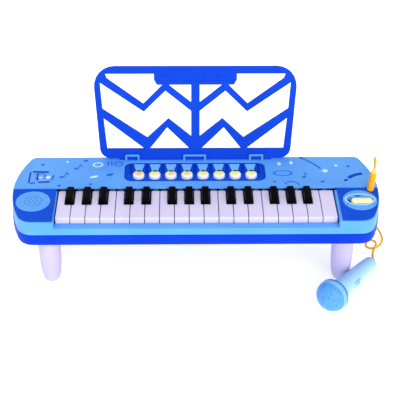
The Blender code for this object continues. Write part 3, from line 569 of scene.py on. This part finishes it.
for node in sorted(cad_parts):
    if node.startswith("white_key"):
        key = merged_copy(node)
        soften(key, 0.6 * MM, 3, wanted=on_white_top)
        piece(f"{node}_cap", key, ivory, node, (node,))
    elif node.startswith("black_key"):
        key = merged_copy(node)
        soften(key, 0.9 * MM, 3, 24.0, wanted=lambda edge: max(v.co.z for v in edge.verts) > 106.9 * MM)
        piece(f"{node}_cap", key, key_black, node, (node,))

# %% [markdown]
# ## Button tray and buttons
# The tray is a blue plate under the deck's opening. Behind each button lies a small sky-blue label pad,
# a flat shape wider at its back, with rounded corners, and a dark band is printed between the pads. The
# buttons are white domed caps, spun, with a printed dot and a small leaf at the back.

# %% Button tray
TRAY_TOP, BUTTON_Y, BUTTON_PITCH, PANEL_X = 101.8, 38.5, 19.8, -1.0
button_xs = [PANEL_X + (i - 3.5) * BUTTON_PITCH for i in range(8)]
plate = merged_copy("button_tray")
piece("button_tray_plate", plate, trim_blue, "case", ("button_tray",))


def slab(corners, low, high, rounding=0.0):
    """A flat shape with thickness: one face extruded, in mm, with its upright corners rounded."""
    bm = bmesh.new()
    verts = [bm.verts.new((x * MM, y * MM, low * MM)) for x, y in corners]
    base = bm.faces.new(verts)
    raised = bmesh.ops.extrude_face_region(bm, geom=[base])["geom"]
    bmesh.ops.translate(bm, vec=(0.0, 0.0, (high - low) * MM),
                        verts=only_verts(raised))
    bmesh.ops.recalc_face_normals(bm, faces=bm.faces)
    if rounding:
        upright = [e for e in bm.edges if abs(e.verts[0].co.z - e.verts[1].co.z) > 1e-6]
        bmesh.ops.bevel(bm, geom=upright, offset=rounding * MM, affect="EDGES", segments=4, profile=0.5,
                        material=-1)
    return bm


pads = [slab(((x - 3.2, 49.0), (x + 3.2, 49.0), (x + 6.9, 65.2), (x - 6.9, 65.2)),
             TRAY_TOP, TRAY_TOP + 0.7, 1.4) for x in button_xs]
piece("button_label_pads", joined(pads), label_blue, "case")
band_xs = [PANEL_X + (i - 4.0) * BUTTON_PITCH for i in range(9)]
bands = [slab(((x - 2.2, 45.0), (x + 2.2, 45.0), (x + 1.4, 65.0), (x - 1.4, 65.0)), TRAY_TOP, TRAY_TOP + 0.15)
         for x in band_xs]
piece("button_tray_bands", joined(bands), ink_navy, "case")

# %% Buttons
cap_profile = ((0.0, 98.7), (8.3, 98.7), (8.3, 99.9), (7.1, 99.9), (7.1, 104.6), (6.9, 105.3), (6.3, 105.9),
               (5.2, 106.35), (3.6, 106.55), (0.0, 106.6))
leaf_shape = Matrix.Diagonal((2.9, 1.9, 1.0, 1.0))
dot_inks = {1: ink_orange, 3: ink_amber, 4: ink_amber}
for number, x in enumerate(button_xs, 1):
    here = move(x, BUTTON_Y, 0.0)
    piece(f"button_cap_{number}", placed(turned(cap_profile, 48), here), cap_white, f"button_{number}",
          (f"button_{number}",))
    dot = turned(((0.0, 106.3), (4.4, 106.3), (4.2, 106.62), (0.0, 106.7)), 32)
    piece(f"button_dot_{number}", placed(dot, here @ Matrix.Translation((0.0, -0.8 * MM, 0.0))),
          dot_inks.get(number, ink_yellow), f"button_{number}")
    leaf = turned(((0.0, -0.4), (1.0, -0.4), (1.0, 0.1), (0.0, 0.2)), 20)
    spot = here @ move(0.4, 5.2, 106.6) @ Matrix.Rotation(-0.12, 4, "X") @ leaf_shape
    piece(f"button_leaf_{number}", placed(leaf, spot), ink_leaf, f"button_{number}")
print("buttons:", len(button_xs))

# %% [markdown]
# ## Power slide
# A pale pill that slides in a long slot, with a raised ring around it. Fine ribs across its middle
# help a finger push it, so they are separate thin bars set on its crown.

# %% Power slide
BEZEL_X, SPEAKER_X, BOSS_Y = 195.6, -194.4, -16.5
knob = merged_copy("power_slide")
soften(knob, 0.7 * MM, 3, 24.0, wanted=lambda edge: min(v.co.z for v in edge.verts) > 104.0 * MM)
piece("power_knob", knob, pale_yellow, "power_slide", ("power_slide",))
KNOB_X, KNOB_Y, KNOB_TOP = BEZEL_X + 2.0, BOSS_Y - 2.6, BOSS_TOP + 1.6
ribs = [slab(((KNOB_X + dx - 0.35, KNOB_Y - 3.2), (KNOB_X + dx + 0.35, KNOB_Y - 3.2),
              (KNOB_X + dx + 0.35, KNOB_Y + 3.2), (KNOB_X + dx - 0.35, KNOB_Y + 3.2)),
             KNOB_TOP - 0.2, KNOB_TOP + 0.25) for dx in (-4.8, -3.2, -1.6, 0.0, 1.6, 3.2, 4.8)]
piece("power_knob_ribs", joined(ribs), pale_yellow, "power_slide")
ring = bmesh.new()
bmesh.ops.create_circle(ring, segments=64, radius=1.0)
bmesh.ops.scale(ring, vec=(18.6 * MM, 12.4 * MM, 1.0), verts=ring.verts)
wide = bmesh.ops.extrude_edge_only(ring, edges=ring.edges[:])["geom"]
bmesh.ops.scale(ring, vec=(0.875, 0.83, 1.0), verts=only_verts(wide))
thick = bmesh.ops.extrude_face_region(ring, geom=ring.faces[:])["geom"]
bmesh.ops.translate(ring, vec=(0.0, 0.0, 0.55 * MM), verts=only_verts(thick))
bmesh.ops.recalc_face_normals(ring, faces=ring.faces)
piece("power_slide_ring", placed(ring, move(BEZEL_X, BOSS_Y, BOSS_TOP)),
      grip_blue, "case")

# %% [markdown]
# ## Music stand
# One openwork plate. A copy of the CAD plate gets its outward edges rounded by 0.6 mm, as its mould
# would. The wide plaque at the top carries two raised lines with a row of plain raised shapes between.

# %% Music stand
STAND_FRAME = move(0.0, 73.5, DECK_TOP) @ Matrix.Rotation(-math.radians(15.0), 4, "X")
lattice = merged_copy("music_stand", flatten=False)
print("edges rounded on the stand:", soften(lattice, 0.6 * MM, 3))
piece("music_stand_plate", lattice, stand_blue, "music_stand", ("music_stand",))
FACE_OUT = STAND_FRAME @ Matrix.Rotation(math.pi / 2.0, 4, "X")
PLAQUE_HALF, PLAQUE_LOW, PLAQUE_HIGH, RAISED = 46.0, 100.5, 114.5, 0.5


def relief_shape(sides, radius, across, height):
    """A raised many-sided boss on the plaque, in the stand's own frame."""
    bm = bmesh.new()
    bmesh.ops.create_cone(bm, cap_ends=True, segments=sides, radius1=radius * MM, radius2=radius * 0.86 * MM,
                          depth=RAISED * MM, matrix=move(across, height, RAISED / 2.0))
    return placed(bm, FACE_OUT)


marks = []
for column in range(9):
    across = (column - 4) * 9.6
    marks.append(relief_shape(*((4, 3.6) if column % 2 else (24, 3.0)), across, 107.5))
for height in (PLAQUE_LOW, PLAQUE_HIGH):
    line = slab(((-PLAQUE_HALF, height - 0.5), (PLAQUE_HALF, height - 0.5),
                 (PLAQUE_HALF, height + 0.5), (-PLAQUE_HALF, height + 0.5)), 0.0, RAISED)
    marks.append(placed(line, FACE_OUT))
piece("stand_plaque_relief", joined(marks), stand_blue, "music_stand")

# %% [markdown]
# ## Legs and feet
# Four bullet-shaped legs: a few points of the profile are joined by a smooth curve before the spin, so
# the long side swells evenly. A rubber pad is let into each end.

# %% Legs
LEG_PLACES = {"front_left": (-176.4, -35.0), "front_right": (176.4, -35.0),
              "rear_left": (-176.4, 57.0), "rear_right": (176.4, 57.0)}
leg_profile = ((5.2, 1.2), (6.6, 1.6), (8.4, 3.4), (10.3, 8.0), (11.8, 17.0), (12.9, 34.0), (13.5, 60.0))
for corner, (x, y) in LEG_PLACES.items():
    here = move(x, y, 0.0)
    side = [tuple(p.xz) for p in smooth_route([Vector((r, 0.0, z)) for r, z in leg_profile], 2.0)]
    outline = [(0.0, 1.2), *side, (13.5, 62.6), (13.0, 63.0), (13.0, 63.6), (13.6, 64.0), (13.6, 66.6),
               (0.0, 66.6)]
    piece(f"leg_{corner}_body", placed(turned(outline, 56), here), leg_lavender, "case",
          (f"leg_{corner}",))
    pad = turned(((0.0, 0.05), (4.6, 0.05), (5.1, 0.4), (5.1, 1.4), (0.0, 1.4)), 40)
    piece(f"leg_{corner}_pad", placed(pad, here), rubber, "case")
print("legs:", len(LEG_PLACES))

# %% [markdown]
# ## Microphone
# It lies on the table with its head towards the player. Its own frame runs from the middle of the head
# to the tail, so all of its parts are spun upright and then laid down together. The head's moulded
# mesh is a cell pattern of 2.2 mm in relief, with painted shade in the grooves between the cells. A
# paler collar and a dark teal rim are separate rings; the rim's dark teal is painted shade for the
# groove between collar and grip.

# %% Microphone frame and finish
head_place = Vector((160.2, -93.2, 19.9)) * MM
tail_place = Vector((217.6, -16.8, 9.2)) * MM
along = tail_place - head_place
MIC_FRAME = Matrix.Translation(head_place) @ along.to_track_quat("Z", "Y").to_matrix().to_4x4()
MIC_LENGTH = along.length / MM


def mesh_head_finish():
    """Blue ABS moulded as a grille of shallow cells, with painted shade darkening each cell towards its
    sunken edge.
    """
    finish = moulded_abs("moulded_abs_mic_grille", "#5CA4EA", "#549CE4", 0.32, 0.0)
    tree = finish.node_tree
    shader = tree.nodes["Principled BSDF"]
    cells = put(tree, "TexVoronoi", {"Vector": put(tree, "TexCoord").outputs["Object"],
                                     "Scale": 1.0 / (2.2 * MM)}, feature="F1")
    # Painted shade: the base colour is darkened towards each cell's sunken edge, where the grooves lie in
    # shade.
    groove_shade_amount = put(tree, "MapRange", {"Value": cells.outputs["Distance"], "From Min": 0.25, "From Max": 0.8,
                                    "To Max": 0.55})
    plain_colour = shader.inputs["Base Color"].links[0].from_socket
    shade = put(tree, "Mix", {0: groove_shade_amount.outputs["Result"], 6: plain_colour, 7: linear("#2F78C4")},
                data_type="RGBA")
    relief = put(tree, "Bump", {"Height": cells.outputs["Distance"], "Strength": 0.35, "Distance": 0.18 * MM},
                 invert=True)
    tree.links.new(shade.outputs[2], shader.inputs["Base Color"])
    tree.links.new(relief.outputs["Normal"], shader.inputs["Normal"])
    return finish


mic_grille = mesh_head_finish()
print("microphone length in mm:", round(MIC_LENGTH, 1))

# %% Microphone parts
RADIUS, FLATTENING = 19.5, 0.91


def dome_points(first, last, step):
    """Points on the flattened dome, from one angle off its axis to another."""
    return [(RADIUS * math.sin(math.radians(a)), -RADIUS * FLATTENING * math.cos(math.radians(a)))
            for a in range(first, last + 1, step)]


head_profile = [*dome_points(0, 72, 6), (18.2, -5.1), (0.0, -5.1)]
piece("mic_head_dome", placed(turned(head_profile, 72), MIC_FRAME), mic_grille, "microphone",
      ("mic_head",))
collar_profile = [(0.0, -5.3), (18.3, -5.3), *dome_points(75, 87, 3), (19.5, 0.4), (19.2, 0.8),
                  (0.0, 0.8)]
piece("mic_collar", placed(turned(collar_profile, 72), MIC_FRAME), label_blue, "microphone")
# The rim's dark teal is painted shade for the groove and rear chamfer between collar and grip.
rim_profile = ((0.0, 1.0), (18.9, 1.0), (19.4, 1.5), (19.4, 3.6), (18.6, 4.9), (17.4, 5.9), (0.0, 5.9))
piece("mic_rim_painted_shade", placed(turned(rim_profile, 72), MIC_FRAME), teal_and_painted_rim_shade, "microphone")
tail = MIC_LENGTH
grip_points = ((16.0, 6.3), (12.9, 16.0), (11.6, 28.0), (10.5, 45.0), (9.8, 64.0), (9.2, tail - 14.0),
               (8.8, tail - 5.0))
body_line = smooth_route([Vector((r, 0.0, z)) for r, z in grip_points], 1.5)
handle_profile = [(0.0, 6.3), *[tuple(p.xz) for p in body_line], (8.6, tail - 2.6), (7.9, tail - 1.0),
                  (6.6, tail - 0.1), (0.0, tail)]
piece("mic_grip", placed(turned(handle_profile, 64), MIC_FRAME), grip_blue, "microphone",
      ("mic_handle",))
print("microphone head across in mm:", 2 * RADIUS)

# %% [markdown]
# A small slide switch stands on the side of the grip that faces the player, and the cord leaves through
# a short boot set almost flush in the tail.

# %% Microphone switch and boot
boot_profile = ((0.0, -1.0), (4.0, -1.0), (4.0, 0.0), (3.6, 0.25), (0.0, 0.25))
boot_place = MIC_FRAME @ Matrix.Translation((0.0, 0.0, tail * MM))
piece("mic_cord_boot", placed(turned(boot_profile, 32), boot_place), teal_and_painted_rim_shade, "microphone")
side_way = MIC_FRAME.to_3x3().inverted() @ Vector((0.8, -0.6, 0.12)).normalized()
turn_to_side = Matrix.Rotation(math.atan2(side_way.y, side_way.x), 4, "Z")
base = slab(((8.5, -3.2), (12.0, -3.2), (12.0, 3.2), (8.5, 3.2)), 34.0, 48.0, 0.6)
slider = slab(((11.5, -1.8), (12.9, -1.8), (12.9, 1.8), (11.5, 1.8)), 37.5, 43.5, 0.4)
soften(slider, 0.3 * MM, 2)
piece("mic_switch_plate", placed(base, MIC_FRAME @ turn_to_side), grip_blue, "microphone")
piece("mic_switch", placed(slider, MIC_FRAME @ turn_to_side), label_blue, "microphone")

# %% [markdown]
# ## Prints on the deck
# Plain pictures: eighth notes, stars, rings, sweeps and a frame of bars. Each is a flat face made with an
# operator, then given the thickness of ink. A star is a ten-sided circle whose every second corner is
# drawn in; a sweep is a short line spun about a far centre; a note is a tilted oval with a stem.

# %% Print shapes
INK = 0.15


def inked(bm):
    """Gives flat faces the thickness of a film of ink, resting on z = 0."""
    film = bmesh.ops.extrude_face_region(bm, geom=bm.faces[:])["geom"]
    bmesh.ops.translate(bm, vec=(0.0, 0.0, INK * MM), verts=only_verts(film))
    bmesh.ops.recalc_face_normals(bm, faces=bm.faces)
    return bm


def disc(across, deep):
    """An oval of ink."""
    bm = bmesh.new()
    bmesh.ops.create_circle(bm, cap_ends=True, segments=28, radius=1.0)
    bmesh.ops.scale(bm, vec=(across / 2.0 * MM, deep / 2.0 * MM, 1.0), verts=bm.verts)
    return inked(bm)


def star(size):
    """A five-pointed star of ink."""
    bm = bmesh.new()
    corners = bmesh.ops.create_circle(bm, cap_ends=True, segments=10, radius=size / 2.0 * MM)["verts"]
    bmesh.ops.scale(bm, vec=(0.45, 0.45, 1.0), verts=corners[1::2])
    return inked(bm)


def sweep(radius, width, degrees):
    """A curved band of ink, spun about a far centre and brought back to its own middle."""
    bm = bmesh.new()
    ends = [bm.verts.new(((radius + s * width / 2.0) * MM, 0.0, 0.0)) for s in (-1, 1)]
    edge = bm.edges.new(ends)
    bmesh.ops.spin(bm, geom=[*ends, edge], cent=(0.0, 0.0, 0.0), axis=(0.0, 0.0, 1.0),
                   angle=math.radians(degrees), steps=max(8, int(degrees / 6)),
                   use_merge=degrees == 360)
    if degrees != 360:
        half_back = Matrix.Rotation(-math.radians(degrees) / 2.0, 3, "Z")
        bmesh.ops.rotate(bm, cent=(0.0, 0.0, 0.0), matrix=half_back, verts=bm.verts)
        bmesh.ops.translate(bm, vec=(-radius * MM, 0.0, 0.0), verts=bm.verts)
    bmesh.ops.remove_doubles(bm, verts=bm.verts, dist=1e-6)
    return inked(bm)


def bar(x0, y0, x1, y1, width):
    """A straight stroke of ink between two points."""
    run = Vector((x1 - x0, y1 - y0))
    half = width / 2.0
    shape = slab(((0.0, -half), (run.length, -half), (run.length, half), (0.0, half)), 0.0, INK)
    return placed(shape, move(x0, y0, 0.0)
                  @ Matrix.Rotation(math.atan2(run.y, run.x), 4, "Z"))


def note(size):
    """An eighth note: head, stem and flag, which meet without overlapping."""
    head = placed(disc(size * 0.62, size * 0.44), Matrix.Rotation(0.35, 4, "Z"))
    stem = bar(size * 0.27, size * 0.16, size * 0.27, size * 1.1, size * 0.11)
    flag = placed(sweep(size * 0.5, size * 0.14, 70.0),
                  move(size * 0.52, size * 0.84, 0.0) @ Matrix.Rotation(0.6, 4, "Z"))
    return joined([head, stem, flag])


def print_at(shape, x, y, turn=0.0, squeeze=1.0):
    """Lays a print on the deck at a place in mm, turned by degrees."""
    return placed(shape, move(x, y, DECK_TOP)
                  @ Matrix.Rotation(math.radians(turn), 4, "Z") @ Matrix.Diagonal((1.0, squeeze, 1.0, 1.0)))


# %% Deck prints
deep = [
    print_at(sweep(30.0, 5.0, 40.0), 195.5, 36.0, 118.0), print_at(disc(6.0, 4.0), 183.6, 25.0, 30.0),
    print_at(bar(0.0, 0.0, 0.0, 24.0, 2.0), -203.5, 21.0),
    print_at(bar(0.0, 0.0, 20.0, -1.0, 3.4), -201.0, 46.0),
    print_at(bar(0.0, 0.0, 0.0, 16.0, 1.8), -194.0, 26.5),
    print_at(bar(0.0, 0.0, 14.0, 1.0, 3.2), -192.0, 22.5),
]
mid = [
    print_at(bar(0.0, 0.0, 1.5, 11.0, 2.0), -176.0, 27.0),
    print_at(bar(0.0, 0.0, 6.0, 1.5, 3.0), -202.0, 20.0),
    print_at(sweep(6.5, 1.6, 300.0), -184.5, 36.0, 0.0, 0.9),
    print_at(disc(5.0, 4.0), -166.0, 15.0, 20.0), print_at(note(10.0), -164.3, 34.0, -14.0),
    print_at(disc(6.0, 4.4), -137.2, 70.8, 20.0), print_at(note(9.0), -148.0, 53.0, -12.0),
    print_at(disc(9.0, 5.0), -105.6, 38.7, 24.0), print_at(bar(0.0, 0.0, 0.0, 9.0, 1.6), -109.0, 60.0),
    print_at(bar(0.0, 0.0, 0.0, 9.0, 1.6), -104.5, 60.0), print_at(sweep(4.6, 1.5, 360.0), -96.0, 63.0),
    print_at(star(7.0), -190.0, 62.0, 30.0), print_at(disc(4.0, 3.4), -128.0, 18.0),
    print_at(sweep(11.0, 2.2, 360.0), 107.5, 41.0, 0.0, 0.5),
    print_at(sweep(90.0, 2.4, 22.0), 145.0, 64.5, 42.0),
    print_at(note(9.0), 133.0, 32.0, 10.0), print_at(disc(5.0, 3.6), 133.0, 76.0, 20.0),
    print_at(sweep(9.0, 1.6, 150.0), 118.0, 22.0, 80.0), print_at(disc(5.0, 4.0), 155.0, 22.0, 30.0),
    print_at(star(6.0), 190.0, 56.0, 10.0), print_at(disc(4.0, 3.0), 96.0, 22.0),
]
white = [
    print_at(sweep(5.6, 1.9, 360.0), -121.6, 61.4, 0.0, 0.8),
    print_at(disc(11.0, 3.6), -124.9, 34.3, 22.0),
    print_at(disc(6.4, 5.4), -189.5, 31.5), print_at(disc(6.0, 5.0), -181.0, 33.5),
    print_at(disc(4.4, 6.4), 104.4, 62.3), print_at(disc(4.4, 6.4), 119.6, 64.5),
    print_at(star(10.0), 160.3, 45.9, 18.0),
    print_at(star(5.0), -160.0, 68.0), print_at(star(6.0), 175.0, 58.0),
]
piece("deck_print_deep", joined(deep), ink_deep, "case")
piece("deck_print_mid", joined(mid), ink_royal, "case")
piece("deck_print_white", joined(white), ink_white, "case")
print("prints on the deck:", len(deep) + len(mid) + len(white))

# %% [markdown]
# ## Print by the power slide
# A small dark mark is printed on the round boss, above the slide. It is one plain oval of ink.

# %% Slide mark
mark = placed(disc(8.0, 2.6), move(BEZEL_X - 2.0, BOSS_Y + 7.6, BOSS_TOP))
piece("power_slide_mark", mark, ink_deep, "case")

# %% [markdown]
# ## Under the case
# The battery door is held by one screw and has finger ridges; nine screws close the case. A screw is a
# low dome with a cross-shaped recess: the dome is spun. The recess is not cut but painted as shade,
# with two thin dark bars set flush.

# %% Underside
door = merged_copy("battery_door")
soften(door, 0.4 * MM, 2)
piece("battery_door_panel", door, royal_blue, "case", ("battery_door",))
ridges = [slab(((-14.0, y - 0.5), (14.0, y - 0.5), (14.0, y + 0.5), (-14.0, y + 0.5)), 66.4, 67.2)
          for y in (26.0, 28.4, 30.8, 33.2)]
piece("battery_door_ridges", joined(ridges), royal_blue, "case")
screw_places = [(0.0, 62.0), (-120.0, -44.0), (0.0, -44.0), (120.0, -44.0), (-120.0, 66.0), (120.0, 66.0),
                (-204.0, 8.0), (204.0, 8.0), (-66.0, 10.0), (66.0, 10.0)]
screw_profile = ((0.0, 67.6), (3.0, 67.6), (3.0, 66.6), (2.6, 66.1), (1.4, 65.75), (0.0, 65.65))
screws = [placed(turned(screw_profile, 24), move(x, y, 0.0)) for x, y in screw_places]
piece("case_screws", joined(screws), screw_steel, "case")
# Painted shade: flush dark bars stand in for the shadow inside each screw's cross recess.
crosses = [slab(((x - a, y - b), (x + a, y - b), (x + a, y + b), (x - a, y + b)), 65.6, 66.0)
           for x, y in screw_places for a, b in ((1.5, 0.3), (0.3, 1.5))]
piece("case_screw_recess_painted_shade", joined(crosses), black_rubber_and_recess_shade, "case")
print("screws:", len(screw_places))

# %% [markdown]
# ## Inside
# Behind the grille sits the speaker: a steel basket, a paper cone with a rolled edge, and a dust cap.
# Below the keys lies the board, with a black rubber dome under each key.

# %% Speaker and board
speaker_at = move(SPEAKER_X, BOSS_Y, 0.0)
basket = ((0.0, 76.0), (9.0, 76.0), (9.0, 84.0), (12.0, 86.0), (17.9, 94.0), (17.9, 97.0), (15.6, 97.0),
          (15.6, 95.0), (10.5, 86.6), (0.0, 86.6))
piece("speaker_basket", placed(turned(basket, 48), speaker_at), basket_steel, "case",
      ("speaker_driver",))
cone = ((0.0, 88.4), (3.0, 88.2), (5.0, 87.4), (5.4, 87.2), (13.4, 94.6), (14.0, 95.6), (14.8, 95.8),
        (15.4, 95.2), (15.4, 94.9), (5.4, 86.8), (0.0, 86.8))
piece("speaker_cone", placed(turned(cone, 48), speaker_at), cone_paper, "case")
board = merged_copy("circuit_board")
piece("circuit_board_panel", board, board_green, "case", ("circuit_board",))
dome_profile = ((0.0, 80.7), (3.4, 80.7), (3.2, 82.0), (2.4, 83.2), (0.0, 83.4))
domes = [placed(turned(dome_profile, 16), move((i - 9) * 17.5, -20.0, 0.0))
         for i in range(19)]
piece("contact_domes", joined(domes), black_rubber_and_recess_shade, "case")

# %% [markdown]
# ## Studio
# A pale floor larger than the view, a bright even surround, and one very soft light low in front, which
# makes the upright fronts brighter than the tops, with a weak fill from the back left.

# %% Floor, lights and surround
def floor_finish():
    """Matt white paper sweep, a touch brighter than the surround so that it stays clean."""
    finish = bpy.data.materials.new("matt_white_paper")
    finish.use_nodes = True
    tree = finish.node_tree
    fibre = put(tree, "TexNoise", {"Vector": put(tree, "TexCoord").outputs["Object"], "Scale": 60.0})
    tint = put(tree, "Mix", {0: fibre.outputs["Fac"], 6: linear("#FCFCFC"), 7: linear("#F8F8F8")},
               data_type="RGBA")
    shader = tree.nodes["Principled BSDF"]
    tree.links.new(tint.outputs[2], shader.inputs["Base Color"])
    shader.inputs["Roughness"].default_value = 0.9
    shader.inputs["Specular IOR Level"].default_value = 0.0
    shader.inputs["Emission Color"].default_value = (1.0, 1.0, 1.0, 1.0)
    shader.inputs["Emission Strength"].default_value = 0.5
    return finish


ground = bmesh.new()
bmesh.ops.create_grid(ground, x_segments=4, y_segments=4, size=6.0)
bmesh.ops.translate(ground, vec=(0.0, 0.0, -0.3 * MM), verts=ground.verts)
floor = piece("studio_floor", ground, floor_finish(), None)


def sun(name, strength, azimuth, elevation, softness):
    """A soft distant light that comes from a compass direction, in degrees from straight in front."""
    light = bpy.data.lights.new(name, "SUN")
    light.energy, light.angle = strength, math.radians(softness)
    lamp = bpy.data.objects.new(name, light)
    a, e = math.radians(azimuth), math.radians(elevation)
    source = Vector((math.sin(a) * math.cos(e), -math.cos(a) * math.cos(e), math.sin(e)))
    lamp.rotation_euler = source.to_track_quat("Z", "Y").to_euler()
    bpy.context.scene.collection.objects.link(lamp)
    return lamp


sun("front_softbox", 2.2, 16.0, 24.0, 60.0)
sun("back_fill", 0.5, -150.0, 50.0, 50.0)
surround = bpy.data.worlds.new("white_surround")
surround.use_nodes = True
surround.node_tree.nodes["Background"].inputs["Strength"].default_value = 0.75
surround.node_tree.nodes["Background"].inputs["Color"].default_value = (1.0, 1.0, 1.0, 1.0)
bpy.context.scene.world = surround
bpy.context.scene.view_settings.view_transform = "Standard"
